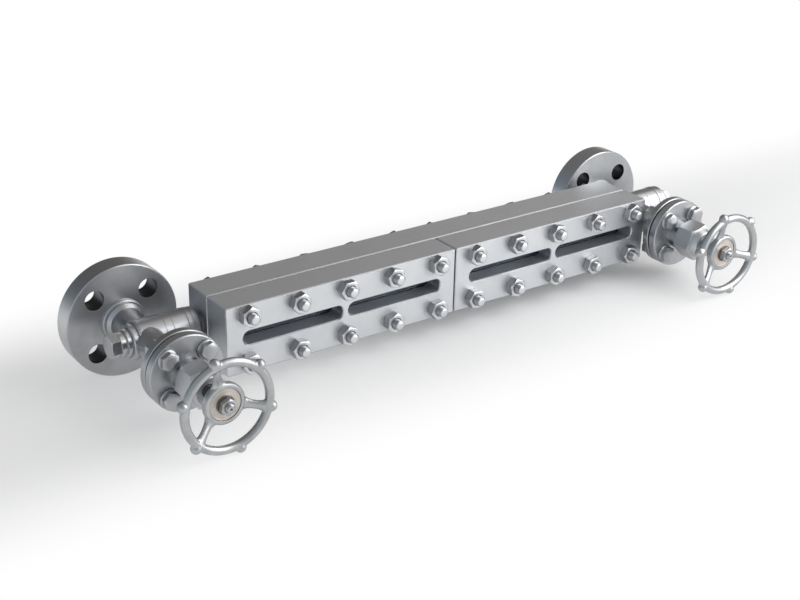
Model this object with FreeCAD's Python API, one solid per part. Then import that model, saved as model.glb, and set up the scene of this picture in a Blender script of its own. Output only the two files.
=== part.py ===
import FreeCAD, Part
import math
import os

from FreeCAD import Vector

# Reflex liquid level gauge with two flanged needle valves, lying on its side.
# X runs along the gauge, -Y is the side with the vision slots and the handwheels,
# +Y is the side with the process flanges, +Z is up. Millimetres.
# The gauge is drawn about the middle of its body, with y = 0 on the chamber's front face.
# Each piece is then moved, so that the origin is the centre of the left connection's raised face.

# Gauge body: one liquid chamber behind two front covers, each as long as its glass and two end walls
body_height = 80.0
chamber_depth = 41.0
cover_depth = 39.5
cover_end_wall = 11.0
seam_gap = 1.5
cover_gap = 2.0
body_chamfer = 1.0

# Vision slots in the covers, two a glass, with a bridge between them
slot_width = 16.0
slot_bridge = 7.0
slot_end_margin = 1.0
slot_chamfer = 1.2

# Reflex glass, its gasket on the wet side and its cushion on the dry side
glass_length = 280.0
glass_width = 34.0
glass_thickness = 17.0
glass_clearance = 0.6
gasket_thickness = 2.0
gasket_recess = 1.0
gasket_rim = 8.5
cushion_thickness = 1.0
prism_count = 5
prism_pitch = 3.2
prism_depth = 1.5

# Liquid passage in the chamber
passage_diameter = 24.0
window_width = 15.0

# Through studs that clamp the covers to the chamber
stud_columns = 5
stud_end_distance = 26.5
stud_row = 27.7
stud_diameter = 12.7
stud_hole_clearance = 1.0
front_stud_end = 5.0
rear_stud_end = 1.0
stud_crown = 2.0
front_nut_height = 10.5
rear_nut_height = 8.0
nut_flats = 22.0
nut_turn_step = 23.0
front_nut_turn = 4.0
rear_nut_turn = 11.0
hexagon_chamfer_angle = 30.0
hexagon_chamfer_depth = 1.3

# Valve body branch, along X: the short side ends in a threaded port, the long side in a union
branch_diameter = 42.0
branch_ring_diameter = 43.2
branch_ring_width = 0.8
branch_rings_reach = 12.0
branch_groove = 0.6
branch_groove_reaches = (18.5, 27.5)
short_reach = 19.0
long_reach = 45.0
port_boss_diameter = 38.5
port_boss_chamfer = 1.2
port_thread_diameter = 21.3
port_thread_depth = 7.5
branch_bore_diameter = 15.0
left_nipple_gap = 4.0
right_nipple_gap = 7.0
nipple_bore_diameter = 12.0
chamber_thread_depth = 20.0

# Union on the long side of the branch
union_diameter = 43.0
union_length = 16.0
union_ring_width = 6.0
union_groove = 0.8
union_lip = 3.0
union_taper = 4.0
union_end_diameter = 36.0
spigot_diameter = 34.0
spigot_length = 10.0
collar_clearance = 0.5

# Hex plugs
plug_flats = 24.0
plug_head = 11.0
plug_collar_diameter = 26.0
plug_collar = 2.5
plug_neck = 6.5
plug_shoulder_diameter = 31.0
plug_shoulder = 5.0
plug_shank = 6.5
plug_turn = 8.0

# Valve body necks and bonnet joint, along Y
neck_diameter = 36.0
front_neck_diameter = 34.0
neck_taper = 6.0
bonnet_flange_diameter = 85.0
bonnet_flange_thickness = 10.5
body_flange_thickness = 9.0
bonnet_joint_gap = 2.0
body_flange_reach = 77.0
bonnet_gasket_outer = 40.0
valve_chamber_diameter = 26.0
valve_chamber_depth = 15.0
rim_chamfer = 1.0

# Bonnet bolts, through both flanges
bonnet_bolt_count = 4
bonnet_bolt_circle = 62.0
bonnet_bolt_diameter = 12.0
bonnet_bolt_clearance = 1.0
bonnet_head_flats = 18.0
bonnet_head_height = 7.0
bonnet_head_base_diameter = 22.0
bonnet_head_base = 2.5
bonnet_nut_height = 10.0
bonnet_bolt_end = 2.0
bonnet_head_turn = 10.0
bonnet_head_turn_step = 17.0
bonnet_nut_turn = 30.0
first_bolt_angle = 45.0

# Process flange, 3/4 inch class 1500
flange_diameter = 130.0
flange_thickness = 25.4
flange_bolt_circle = 88.9
flange_bolt_count = 4
flange_hole_diameter = 22.2
flange_reach = 49.5
raised_face_diameter = 42.9
raised_face = 6.4
flange_hub_diameter = 51.0
flange_hub = 4.0
flange_hub_round = 1.5
hub_ring_diameter = 44.5
hub_ring = 2.0
hub_cone_diameter = 38.0
hub_cone = 4.0
flange_bore = 19.0
neck_spigot_diameter = 34.0
neck_spigot = 16.0

# Seat ring and needle
seat_outer = 22.0
seat_thickness = 8.0
seat_orifice = 9.0
seat_mouth = 13.0
needle_diameter = 14.0
needle_body = 8.0
needle_tip_diameter = 7.0
needle_chamfer = 0.5
stem_pitch = 3.0
turns_open_at_rest = 0.5
turns_to_open = 2.0
seat_clearance = 0.1

# Stem and its swivel joint in the needle
stem_diameter = 14.0
stem_thread_diameter = 16.0
thread_run_out = 1.0
stem_fit = 0.05
swivel_head_diameter = 8.0
swivel_head = 3.0
swivel_neck_diameter = 5.0
swivel_clearance = 0.1
swivel_gap = 1.0
back_seat_diameter = 20.0
back_seat = 4.0
back_seat_clearance = 0.3

# Bonnet, packing and packing nut
bonnet_plug_length = 8.0
bonnet_plug_clearance = 0.1
boss_diameter = 36.0
boss_length = 12.5
bonnet_thread_diameter = 30.0
bonnet_thread_length = 17.0
packing_outer = 24.0
packing_box_depth = 20.0
packing_ring_count = 4
packing_ring = 3.5
follower_head_diameter = 27.0
follower_head = 3.0
packing_nut_flats = 41.0
packing_nut_hex = 26.0
packing_nut_nose = 8.0
packing_nut_turn = 12.0
nose_chamfer = 1.0
nose_base_diameter = 37.0
nose_tip_diameter = 31.0
nose_recess_diameter = 20.0
nose_recess = 3.0
nose_clearance = 0.5

# Handwheel
wheel_reach = 81.5
wheel_rim_radius = 47.0
wheel_rim_tube = 9.5
knob_count = 6
knob_diameter = 12.0
knob_circle_radius = 50.5
knob_phase = 104.4
spoke_count = 3
spoke_root = 1.0
spoke_root_width = 18.0
spoke_width = 9.5
spoke_waist = 0.4
spoke_end_width = 13.0
spoke_thickness = 7.0
hub_diameter = 45.0
hub_thickness = 9.0
hub_setback = 4.0
hub_boss_diameter = 24.0
hub_boss = 6.0
hub_chamfer = 1.0
plate_diameter = 35.0
plate_thickness = 1.0
plate_clearance = 0.2
plate_recess = 1.8
stem_square = 11.0
stem_end_diameter = 10.0
wheel_nut_flats = 16.0
wheel_nut_height = 7.0
wheel_nut_turn = 20.0
wheel_washer_diameter = 20.0
wheel_washer = 1.5
stem_tip = 4.0
tip_chamfer = 1.0
centre_hole_diameter = 2.5
centre_hole_depth = 3.0

# How near two places must be to count as the same
same_place = 1e-4

# Worked out from the sizes above
needle_lift_at_rest = turns_open_at_rest * stem_pitch
opening_lift = turns_to_open * stem_pitch
port_y = chamber_depth / 2
cover_length = glass_length + 2 * cover_end_wall
cover_centre = (cover_gap + cover_length) / 2
body_length = 2 * cover_length + cover_gap
cover_back_y = -seam_gap
cover_front_y = cover_back_y - cover_depth
window_length = glass_length - 2 * gasket_rim
slot_length = (window_length - slot_bridge) / 2 - slot_end_margin
stud_pitch = (cover_length - 2 * stud_end_distance) / (stud_columns - 1)
glass_back_y = gasket_recess - gasket_thickness
glass_front_y = glass_back_y - glass_thickness
recess_floor_y = glass_front_y - cushion_thickness
union_end = long_reach + union_length
left_valve_x = -(body_length / 2 + left_nipple_gap + union_end)
right_valve_x = body_length / 2 + right_nipple_gap + short_reach

body_flange_y = port_y - body_flange_reach
body_flange_front_y = body_flange_y - body_flange_thickness
bonnet_back_y = body_flange_front_y - bonnet_joint_gap
bonnet_front_y = bonnet_back_y - bonnet_flange_thickness
boss_front_y = bonnet_front_y - boss_length
bonnet_end_y = boss_front_y - bonnet_thread_length
packing_floor_y = bonnet_end_y + packing_box_depth
packing_front_y = packing_floor_y - packing_ring_count * packing_ring
hex_front_y = boss_front_y - packing_nut_hex
nose_front_y = hex_front_y - packing_nut_nose
follower_front_y = bonnet_end_y - follower_head
rim_y = bonnet_front_y - wheel_reach
hub_front_y = rim_y + hub_setback
hub_back_y = hub_front_y + hub_thickness
boss_back_y = hub_back_y + hub_boss
plate_seat_y = hub_front_y + plate_recess
washer_seat_y = plate_seat_y - plate_thickness
nut_seat_y = washer_seat_y - wheel_washer
nut_front_y = nut_seat_y - wheel_nut_height
stem_tip_y = nut_front_y - stem_tip
flange_front_y = port_y + flange_reach
flange_back_y = flange_front_y + flange_thickness
raised_face_y = flange_back_y + raised_face
hub_start_y = flange_front_y - flange_hub
hub_cone_start_y = hub_start_y - hub_ring - hub_cone
neck_end_y = flange_front_y + neck_spigot
seat_back_y = port_y + valve_chamber_depth
seat_front_y = seat_back_y - seat_thickness
needle_shoulder_y = seat_front_y - needle_lift_at_rest - seat_clearance
needle_start_y = needle_shoulder_y - needle_body
needle_lip = (needle_body - swivel_head) / 2
plug_end_y = bonnet_back_y + bonnet_joint_gap + bonnet_plug_length

X_AXIS = Vector(1, 0, 0)
Y_AXIS = Vector(0, 1, 0)
Z_AXIS = Vector(0, 0, 1)


def cylinder(diameter, start, end):
    """A solid cylinder between two points."""
    line = end - start
    return Part.makeCylinder(diameter / 2, line.Length, start, line)


def along_y(diameter, y_start, y_end, x=0.0, z=0.0):
    """A solid cylinder along Y."""
    return cylinder(diameter, Vector(x, y_start, z), Vector(x, y_end, z))


def along_x(diameter, x_start, x_end, y=0.0, z=0.0):
    """A solid cylinder along X."""
    return cylinder(diameter, Vector(x_start, y, z), Vector(x_end, y, z))


def turned_y(profile, x=0.0, z=0.0):
    """A turned solid about an axis along Y; the profile is a list of (y, diameter)."""
    points = [Vector(x, profile[0][0], z)]
    points += [Vector(x + diameter / 2, y, z) for y, diameter in profile]
    points += [Vector(x, profile[-1][0], z), points[0]]
    face = Part.Face(Part.makePolygon(points))
    return face.revolve(Vector(x, 0, z), Y_AXIS, 360)


def turned_x(profile, y=0.0, z=0.0):
    """A turned solid about an axis along X; the profile is a list of (x, diameter)."""
    points = [Vector(profile[0][0], y, z)]
    points += [Vector(x, y, z + diameter / 2) for x, diameter in profile]
    points += [Vector(profile[-1][0], y, z), points[0]]
    face = Part.Face(Part.makePolygon(points))
    return face.revolve(Vector(0, y, z), X_AXIS, 360)


def hexagon(flats, height, start, direction, turn=0.0):
    """A hexagonal prism that starts at a point and runs along a direction."""
    radius = flats / math.sqrt(3)
    corners = [
        Vector(radius * math.cos(math.radians(60 * i)), radius * math.sin(math.radians(60 * i)), 0)
        for i in range(7)
    ]
    prism = Part.Face(Part.makePolygon(corners)).extrude(Vector(0, 0, height))
    prism.rotate(Vector(), Z_AXIS, turn)
    prism.Placement = FreeCAD.Placement(start, FreeCAD.Rotation(Z_AXIS, direction)).multiply(prism.Placement)
    return prism


def chamfered_hexagon(flats, height, start, direction, turn=0.0, both_ends=True):
    """A hexagon whose corners are turned off by a shallow cone, as on a nut or a bolt head."""
    corner = flats / math.sqrt(3)
    inset = (corner - flats / 2) * hexagon_chamfer_depth
    drop = inset * math.tan(math.radians(hexagon_chamfer_angle))
    profile = [Vector(0, 0, 0)]
    if both_ends:
        profile += [Vector(corner - inset, 0, 0), Vector(corner, 0, drop)]
    else:
        profile.append(Vector(corner, 0, 0))
    profile += [Vector(corner, 0, height - drop), Vector(corner - inset, 0, height), Vector(0, 0, height)]
    envelope = Part.Face(Part.makePolygon(profile + profile[:1])).revolve(Vector(), Z_AXIS, 360)
    envelope.Placement = FreeCAD.Placement(start, FreeCAD.Rotation(Z_AXIS, direction))
    return hexagon(flats, height, start, direction, turn).common(envelope)


def stadium(length, width, y_start, y_end, x_centre):
    """A round-ended bar along X, cut square at two Y planes."""
    half = length / 2 - width / 2
    radius = width / 2
    left = x_centre - half
    right = x_centre + half
    edges = [
        Part.LineSegment(Vector(left, y_start, radius), Vector(right, y_start, radius)).toShape(),
        Part.Arc(
            Vector(right, y_start, radius), Vector(right + radius, y_start, 0), Vector(right, y_start, -radius)
        ).toShape(),
        Part.LineSegment(Vector(right, y_start, -radius), Vector(left, y_start, -radius)).toShape(),
        Part.Arc(
            Vector(left, y_start, -radius), Vector(left - radius, y_start, 0), Vector(left, y_start, radius)
        ).toShape(),
    ]
    return Part.Face(Part.Wire(edges)).extrude(Vector(0, y_end - y_start, 0))


def edges_at_y(shape, y, inside_z):
    """The edges that lie in one Y plane and within a height of the part's middle."""
    found = []
    for edge in shape.Edges:
        box = edge.BoundBox
        flat = abs(box.YMin - y) < same_place and abs(box.YMax - y) < same_place
        if flat and max(abs(box.ZMin), abs(box.ZMax)) < inside_z:
            found.append(edge)
    return found


def outer_edges(shape):
    """The twelve outer edges of a block, apart from those of its holes."""
    limits = shape.BoundBox
    found = []
    for edge in shape.Edges:
        box = edge.BoundBox
        sides = [
            on_outside(box.XMin, box.XMax, limits.XMin, limits.XMax),
            on_outside(box.YMin, box.YMax, limits.YMin, limits.YMax),
            on_outside(box.ZMin, box.ZMax, limits.ZMin, limits.ZMax),
        ]
        if sides.count(True) == 2:
            found.append(edge)
    return found


def on_outside(low, high, limit_low, limit_high):
    """Whether a flat extent lies on one of the two outer limits."""
    return high - low < same_place and min(low - limit_low, limit_high - high) < same_place


def stud_places():
    """The (x, z) of every through stud."""
    places = []
    for side in (-1, 1):
        for column in range(stud_columns):
            x = side * cover_centre + (column - (stud_columns - 1) / 2) * stud_pitch
            for row in (-1, 1):
                places.append((x, row * stud_row))
    return places


def liquid_chamber():
    """The chamber block: a passage along X, two windows, gasket recesses and stud holes."""
    block = Part.makeBox(body_length, chamber_depth, body_height, Vector(-body_length / 2, 0, -body_height / 2))
    block = block.makeChamfer(body_chamfer, outer_edges(block))
    cuts = [along_x(passage_diameter, -body_length / 2 + chamber_thread_depth,
                    body_length / 2 - chamber_thread_depth, port_y)]
    cuts.append(along_x(port_thread_diameter, -body_length / 2, body_length / 2, port_y))
    for side in (-1, 1):
        centre = side * cover_centre
        cuts.append(stadium(window_length, window_width, 0, port_y, centre))
        cuts.append(stadium(glass_length + glass_clearance, glass_width + glass_clearance,
                            0, gasket_recess, centre))
    for x, z in stud_places():
        cuts.append(along_y(stud_diameter + stud_hole_clearance, 0, chamber_depth, x, z))
    return block.cut(cuts)


def cover(side):
    """A front cover: a clamped block with a glass pocket, two vision slots and stud holes."""
    centre = side * cover_centre
    corner = Vector(centre - cover_length / 2, cover_front_y, -body_height / 2)
    block = Part.makeBox(cover_length, cover_depth, body_height, corner)
    block = block.makeChamfer(body_chamfer, outer_edges(block))
    cuts = [stadium(glass_length + glass_clearance, glass_width + glass_clearance,
                    recess_floor_y, cover_back_y, centre)]
    for half in (-1, 1):
        slot_x = centre + half * (slot_length + slot_bridge) / 2
        cuts.append(stadium(slot_length, slot_width, cover_front_y, recess_floor_y, slot_x))
    for x, z in stud_places():
        if abs(x - centre) < cover_length / 2:
            cuts.append(along_y(stud_diameter + stud_hole_clearance, cover_front_y, cover_back_y, x, z))
    block = block.cut(cuts)
    rims = edges_at_y(block, cover_front_y, slot_width / 2 + slot_chamfer / 2)
    return block.makeChamfer(slot_chamfer, rims)


def glass(side):
    """A reflex glass: a round-ended bar with prism grooves along its wet face."""
    centre = side * cover_centre
    bar = stadium(glass_length, glass_width, glass_front_y, glass_back_y, centre)
    grooves = []
    for index in range(prism_count):
        z = (index - (prism_count - 1) / 2) * prism_pitch
        start = centre - window_length / 2 + prism_pitch
        corners = [
            Vector(start, glass_back_y, z - prism_pitch / 2),
            Vector(start, glass_back_y - prism_depth, z),
            Vector(start, glass_back_y, z + prism_pitch / 2),
        ]
        face = Part.Face(Part.makePolygon(corners + corners[:1]))
        grooves.append(face.extrude(Vector(window_length - 2 * prism_pitch, 0, 0)))
    return bar.cut(grooves)


def glass_ring(side, y_start, y_end):
    """A flat ring the size of the glass: the gasket or the cushion."""
    centre = side * cover_centre
    outer = stadium(glass_length, glass_width, y_start, y_end, centre)
    return outer.cut(stadium(window_length, glass_width - 2 * gasket_rim, y_start, y_end, centre))


def body_studs():
    """All through studs, each with a domed end beyond its front nut and a short one beyond its rear nut."""
    front = cover_front_y - front_nut_height - front_stud_end
    back = chamber_depth + rear_nut_height + rear_stud_end
    profile = [
        (front, stud_diameter - 3 * stud_crown),
        (front + stud_crown / 2, stud_diameter - stud_crown),
        (front + stud_crown, stud_diameter),
        (back - rear_stud_end, stud_diameter),
        (back, stud_diameter - 2 * rear_stud_end),
    ]
    return Part.Compound([turned_y(profile, x, z) for x, z in stud_places()])


def hex_nut(flats, height, hole, start, direction, turn):
    """A hex nut with turned corners at both ends."""
    body = chamfered_hexagon(flats, height, start, direction, turn)
    return body.cut(cylinder(hole, start, start + direction * height))


def body_nuts(height, y_seat, direction, first_turn):
    """The nuts on one face of the gauge, each left at its own angle by the spanner."""
    nuts = []
    for index, (x, z) in enumerate(stud_places()):
        turn = first_turn + nut_turn_step * index % 60
        seat = Vector(x, y_seat, z)
        nuts.append(hex_nut(nut_flats, height, stud_diameter, seat, direction, turn))
    return Part.Compound(nuts)


def branch_profile():
    """The branch as (x, diameter): port boss, two narrow rings, barrel with fine grooves, spigot."""
    profile = [
        (-short_reach, port_boss_diameter - 2 * port_boss_chamfer),
        (-short_reach + port_boss_chamfer, port_boss_diameter),
        (-branch_rings_reach, port_boss_diameter),
    ]
    for ring in range(2):
        start = -branch_rings_reach + 2 * ring * branch_ring_width
        profile += [
            (start, branch_ring_diameter),
            (start + branch_ring_width, branch_ring_diameter),
            (start + branch_ring_width, branch_diameter - branch_groove),
            (start + 2 * branch_ring_width, branch_diameter - branch_groove),
        ]
    profile.append((profile[-1][0], branch_diameter))
    for reach in branch_groove_reaches:
        profile += [
            (reach, branch_diameter),
            (reach + branch_groove / 2, branch_diameter - branch_groove),
            (reach + branch_groove, branch_diameter),
        ]
    profile += [
        (long_reach, branch_diameter),
        (long_reach, spigot_diameter),
        (long_reach + spigot_length, spigot_diameter),
    ]
    return profile


def valve_body():
    """The forged valve body: branch along X, necks along Y and the flange that carries the bonnet."""
    body = turned_x(branch_profile(), port_y)
    neck_profile = [
        (body_flange_front_y, bonnet_flange_diameter - 2 * rim_chamfer),
        (body_flange_front_y + rim_chamfer, bonnet_flange_diameter),
        (body_flange_y - rim_chamfer, bonnet_flange_diameter),
        (body_flange_y, bonnet_flange_diameter - 2 * rim_chamfer),
        (body_flange_y, front_neck_diameter),
        (port_y - neck_taper / 2, front_neck_diameter),
        (port_y + neck_taper / 2, neck_diameter),
        (flange_front_y, neck_diameter),
        (flange_front_y, neck_spigot_diameter),
        (neck_end_y, neck_spigot_diameter),
    ]
    body = body.fuse(turned_y(neck_profile))
    cuts = [
        along_y(valve_chamber_diameter, body_flange_front_y, seat_front_y),
        along_y(seat_outer, port_y, seat_back_y),
        along_y(flange_bore, port_y, neck_end_y),
        along_x(branch_bore_diameter, -short_reach, long_reach + spigot_length, port_y),
        along_x(port_thread_diameter, -short_reach, -short_reach + port_thread_depth, port_y),
    ]
    cuts += [along_y(bonnet_bolt_diameter + bonnet_bolt_clearance, body_flange_front_y, body_flange_y, bx, bz)
             for bx, bz in bonnet_bolt_places()]
    return body.cut(cuts)


def bonnet_bolt_places():
    """The (x, z) of the bonnet bolts of one valve."""
    radius = bonnet_bolt_circle / 2
    places = []
    for index in range(bonnet_bolt_count):
        angle = math.radians(first_bolt_angle + 360 * index / bonnet_bolt_count)
        places.append((radius * math.cos(angle), radius * math.sin(angle)))
    return places


def process_flange():
    """The flange that bolts to the vessel, screwed on the spigot of the valve's rear neck."""
    profile = [
        (hub_cone_start_y, hub_cone_diameter),
        (hub_cone_start_y + hub_cone, hub_ring_diameter),
        (hub_start_y, hub_ring_diameter),
        (hub_start_y, flange_hub_diameter - 2 * flange_hub_round),
        (hub_start_y + flange_hub_round / 3, flange_hub_diameter - flange_hub_round),
        (hub_start_y + flange_hub_round, flange_hub_diameter),
        (flange_front_y, flange_hub_diameter),
        (flange_front_y, flange_diameter - 2 * rim_chamfer),
        (flange_front_y + rim_chamfer, flange_diameter),
        (flange_back_y - rim_chamfer, flange_diameter),
        (flange_back_y, flange_diameter - 2 * rim_chamfer),
        (flange_back_y, raised_face_diameter),
        (raised_face_y, raised_face_diameter),
    ]
    flange = turned_y(profile)
    cuts = [
        along_y(neck_diameter, hub_cone_start_y, flange_front_y),
        along_y(neck_spigot_diameter, flange_front_y, neck_end_y),
        along_y(flange_bore, neck_end_y, raised_face_y),
    ]
    for index in range(flange_bolt_count):
        angle = math.radians(first_bolt_angle + 360 * index / flange_bolt_count)
        cuts.append(along_y(flange_hole_diameter, flange_front_y, flange_back_y,
                            flange_bolt_circle / 2 * math.cos(angle),
                            flange_bolt_circle / 2 * math.sin(angle)))
    return flange.cut(cuts)


def seat_ring():
    """The hard seat at the back of the valve chamber, with a coned mouth."""
    mouth_end = seat_front_y + (seat_mouth - seat_orifice) / 2
    ring = along_y(seat_outer, seat_front_y, seat_back_y)
    cone = turned_y([(seat_front_y, seat_mouth), (mouth_end, seat_orifice), (seat_back_y, seat_orifice)])
    return ring.cut(cone)


def needle():
    """The needle that turns freely on the stem's end and closes the seat."""
    tip_end = needle_shoulder_y + (seat_mouth - needle_tip_diameter) / 2
    profile = [
        (needle_start_y, needle_diameter - 2 * needle_chamfer),
        (needle_start_y + needle_chamfer, needle_diameter),
        (needle_shoulder_y - (needle_diameter - seat_mouth) / 2, needle_diameter),
        (needle_shoulder_y, seat_mouth),
        (tip_end, needle_tip_diameter),
    ]
    neck_hole = swivel_neck_diameter + 2 * swivel_clearance
    head_hole = swivel_head_diameter + 2 * swivel_clearance
    lip_y = needle_start_y + needle_lip
    socket = turned_y([
        (needle_start_y, neck_hole),
        (lip_y, neck_hole),
        (lip_y, head_hole),
        (lip_y + swivel_head + 2 * swivel_clearance, head_hole),
    ])
    return turned_y(profile).cut(socket)


def stem():
    """The stem: swivel head, back seat, thread, packing journal, square and threaded end."""
    head_front = needle_start_y + needle_lip + swivel_clearance
    head_back = head_front + swivel_head
    neck_front = needle_start_y - swivel_gap
    collar_front = plug_end_y + opening_lift + back_seat_clearance
    collar_back = collar_front + back_seat
    thread_front = packing_floor_y + opening_lift + thread_run_out
    profile = [
        (head_back, swivel_head_diameter),
        (head_front, swivel_head_diameter),
        (head_front, swivel_neck_diameter),
        (neck_front, swivel_neck_diameter),
        (neck_front, stem_diameter),
        (collar_back, stem_diameter),
        (collar_back, back_seat_diameter),
        (collar_front, back_seat_diameter),
        (collar_front, stem_thread_diameter),
        (thread_front, stem_thread_diameter),
        (thread_front, stem_diameter),
        (boss_back_y, stem_diameter),
        (boss_back_y, stem_end_diameter),
        (stem_tip_y + tip_chamfer, stem_end_diameter),
        (stem_tip_y, stem_end_diameter - 2 * tip_chamfer),
    ]
    shaft = turned_y(profile[::-1])
    centre_hole = along_y(centre_hole_diameter, stem_tip_y, stem_tip_y + centre_hole_depth)
    return shaft.fuse(wheel_square(plate_seat_y, boss_back_y)).cut(centre_hole)


def wheel_square(y_start, y_end):
    """The square on the stem that turns with the handwheel, with the stem's round left on its corners."""
    half = stem_square / 2
    bar = Part.makeBox(stem_square, y_end - y_start, stem_square, Vector(-half, y_start, -half))
    return bar.common(along_y(stem_diameter, y_start, y_end))


def bonnet():
    """The bonnet: a plug in the valve chamber, a flange, a round boss and the packing box."""
    plug_diameter = valve_chamber_diameter - 2 * bonnet_plug_clearance
    profile = [
        (bonnet_end_y, bonnet_thread_diameter),
        (boss_front_y, bonnet_thread_diameter),
        (boss_front_y, boss_diameter),
        (bonnet_front_y, boss_diameter),
        (bonnet_front_y, bonnet_flange_diameter - 2 * rim_chamfer),
        (bonnet_front_y + rim_chamfer, bonnet_flange_diameter),
        (bonnet_back_y - rim_chamfer, bonnet_flange_diameter),
        (bonnet_back_y, bonnet_flange_diameter - 2 * rim_chamfer),
        (bonnet_back_y, plug_diameter),
        (plug_end_y, plug_diameter),
    ]
    cuts = [
        along_y(packing_outer, bonnet_end_y, packing_floor_y),
        along_y(stem_thread_diameter + 2 * stem_fit, packing_floor_y, plug_end_y),
    ]
    cuts += [along_y(bonnet_bolt_diameter + bonnet_bolt_clearance, bonnet_front_y, bonnet_back_y, bx, bz)
             for bx, bz in bonnet_bolt_places()]
    return turned_y(profile).cut(cuts)


def bonnet_gasket():
    """The flat ring between the bonnet and the valve body."""
    outer = along_y(bonnet_gasket_outer, bonnet_back_y, body_flange_front_y)
    return outer.cut(along_y(valve_chamber_diameter, bonnet_back_y, body_flange_front_y))


def bonnet_bolts():
    """The hex bolts through both flanges of the bonnet joint, each head on a round base."""
    end = body_flange_y + bonnet_nut_height + bonnet_bolt_end
    base_y = bonnet_front_y - bonnet_head_base
    bolts = []
    for index, (bx, bz) in enumerate(bonnet_bolt_places()):
        turn = bonnet_head_turn + bonnet_head_turn_step * index
        head = chamfered_hexagon(bonnet_head_flats, bonnet_head_height, Vector(bx, base_y, bz), -Y_AXIS,
                                 turn, False)
        base = along_y(bonnet_head_base_diameter, base_y, bonnet_front_y, bx, bz)
        bolts.append(head.fuse([base, along_y(bonnet_bolt_diameter, bonnet_front_y, end, bx, bz)]))
    return Part.Compound(bolts)


def bonnet_nuts():
    """The nuts behind the valve body's flange."""
    nuts = []
    for bx, bz in bonnet_bolt_places():
        seat = Vector(bx, body_flange_y, bz)
        nuts.append(hex_nut(bonnet_head_flats, bonnet_nut_height, bonnet_bolt_diameter, seat, Y_AXIS,
                            bonnet_nut_turn))
    return Part.Compound(nuts)


def packing():
    """The stack of packing rings in the bonnet's packing box."""
    rings = []
    for index in range(packing_ring_count):
        back = packing_floor_y - index * packing_ring
        ring = along_y(packing_outer, back - packing_ring, back)
        rings.append(ring.cut(along_y(stem_diameter + 2 * stem_fit, back - packing_ring, back)))
    return Part.Compound(rings)


def packing_follower():
    """The flanged bush that the packing nut presses on the packing."""
    profile = [
        (follower_front_y, follower_head_diameter),
        (bonnet_end_y, follower_head_diameter),
        (bonnet_end_y, packing_outer),
        (packing_front_y, packing_outer),
    ]
    bush = turned_y(profile)
    return bush.cut(along_y(stem_diameter + 2 * stem_fit, follower_front_y, packing_front_y))


def packing_nut():
    """The large hex nut on the bonnet, with a round nose around the stem."""
    hex_part = chamfered_hexagon(packing_nut_flats, packing_nut_hex, Vector(0, boss_front_y, 0), -Y_AXIS,
                                 packing_nut_turn)
    nose = turned_y([
        (nose_front_y, nose_tip_diameter),
        (nose_front_y + nose_chamfer, nose_tip_diameter + 2 * nose_chamfer),
        (hex_front_y, nose_base_diameter),
    ])
    cuts = [
        along_y(bonnet_thread_diameter, follower_front_y, boss_front_y),
        along_y(stem_diameter + 2 * nose_clearance, nose_front_y, follower_front_y),
        along_y(nose_recess_diameter, nose_front_y, nose_front_y + nose_recess),
    ]
    return hex_part.fuse(nose).cut(cuts)


def union_nut():
    """The round union nut that clamps a collar to the long branch's spigot: ring, groove and tapered end."""
    start = long_reach
    end = union_end
    lip = end - union_lip
    groove_start = start + union_ring_width
    profile = [
        (start, union_diameter - 2 * union_groove),
        (start + union_groove, union_diameter),
        (groove_start, union_diameter),
        (groove_start, union_diameter - 2 * union_groove),
        (groove_start + union_groove, union_diameter - 2 * union_groove),
        (groove_start + union_groove, branch_diameter),
        (end - union_taper, branch_diameter),
        (end, union_end_diameter),
    ]
    cuts = [
        along_x(spigot_diameter, start, lip, port_y),
        along_x(plug_collar_diameter, lip, end, port_y),
    ]
    return turned_x(profile, port_y).cut(cuts)


def union_collar():
    """The collar that the union nut holds against the spigot's end."""
    start = long_reach + spigot_length
    return along_x(spigot_diameter - 2 * collar_clearance, start, union_end - union_lip, port_y)


def union_tail():
    """The left valve's tail piece: a collar in the union and a nipple in the chamber's end."""
    start = long_reach + spigot_length
    end = union_end + left_nipple_gap + chamber_thread_depth
    tail = union_collar().fuse(along_x(port_thread_diameter, start, end, port_y))
    return tail.cut(along_x(nipple_bore_diameter, start, end, port_y))


def end_nipple():
    """The right valve's nipple, between its threaded port and the chamber's end."""
    start = -(short_reach + right_nipple_gap + chamber_thread_depth)
    end = port_thread_depth - short_reach
    pipe = along_x(port_thread_diameter, start, end, port_y)
    return pipe.cut(along_x(nipple_bore_diameter, start, end, port_y))


def threaded_plug():
    """The left valve's plug in the threaded port on the short side, with a shoulder and a neck."""
    face = -short_reach
    shoulder_x = face - plug_shoulder
    head_x = shoulder_x - plug_neck
    shoulder = along_x(plug_shoulder_diameter, shoulder_x, face, port_y)
    neck = along_x(plug_collar_diameter, head_x, shoulder_x, port_y)
    shank = along_x(port_thread_diameter, face, face + plug_shank, port_y)
    head = chamfered_hexagon(plug_flats, plug_head, Vector(head_x, port_y, 0), -X_AXIS, plug_turn, False)
    return head.fuse([neck, shoulder, shank])


def union_plug():
    """The right valve's blind plug, held by its collar in the union."""
    face = union_end
    neck = along_x(plug_collar_diameter - 2 * collar_clearance, union_end - union_lip, face + plug_collar,
                   port_y)
    head = chamfered_hexagon(plug_flats, plug_head, Vector(face + plug_collar, port_y, 0), X_AXIS, plug_turn, False)
    return union_collar().fuse([neck, head])


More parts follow.
